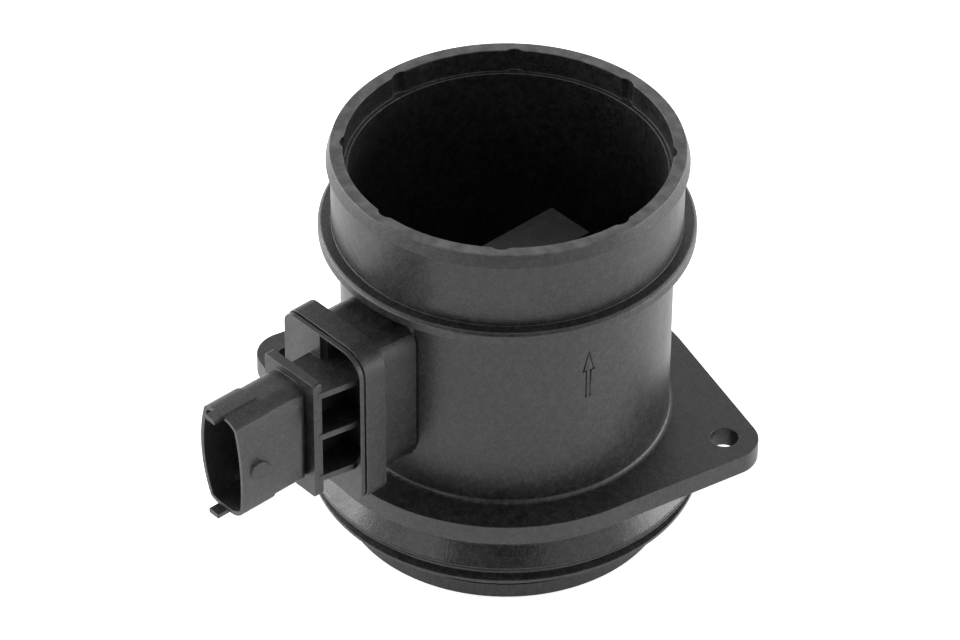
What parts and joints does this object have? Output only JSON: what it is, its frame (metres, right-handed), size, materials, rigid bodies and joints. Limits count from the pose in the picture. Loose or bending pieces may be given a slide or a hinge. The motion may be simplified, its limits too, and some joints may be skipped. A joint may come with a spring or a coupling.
{
  "type": "mass airflow sensor",
  "caption": "Round intake duct with hose bead, two-ear flange, rubber seal ring and honeycomb inlet, and a side sensor insert with a keyed plug connector.",
  "frame": {"origin": "on the duct's axis, in the plane of its inlet end, on which the part stands", "axes": "+Z along the duct the way the air flows, -Y out along the plug connector, +X to its right"},
  "size_m": [0.1093, 0.1382, 0.1033],
  "materials": {
    "housing": "fine matt moulded finish",
    "module": "fine matt moulded finish",
    "seal_rubber": "matt moulded rubber",
    "steel": "bright drawn wire",
    "plate": "rolled sheet",
    "ceramic": "fired ceramic board",
    "chip": "moulded component",
    "wire": "gold bonding wire",
    "contact": "tinned blade"
  },
  "bodies": {
    "root": {"flow_housing": "housing", "inlet_seal": "seal_rubber", "end_ring": "housing", "inlet_screen": "steel", "flow_straightener": "housing", "module_body": "module", "module_seal": "seal_rubber", "electronics_cover": "module", "bypass_cover": "module", "carrier_plate": "plate", "circuit_board": "ceramic", "evaluation_chip": "chip", "supply_capacitor": "chip", "signal_capacitor": "chip", "trim_resistor": "chip", "chip_holder": "module", "sensor_chip": "chip", "terminal_wires": "wire", "chip_wires": "wire", "terminal_1": "contact", "terminal_2": "contact", "terminal_3": "contact", "terminal_4": "contact", "terminal_5": "contact", "temperature_probe": "chip", "probe_lead_outer": "steel", "probe_lead_inner": "steel"}
  },
  "joints": []
}
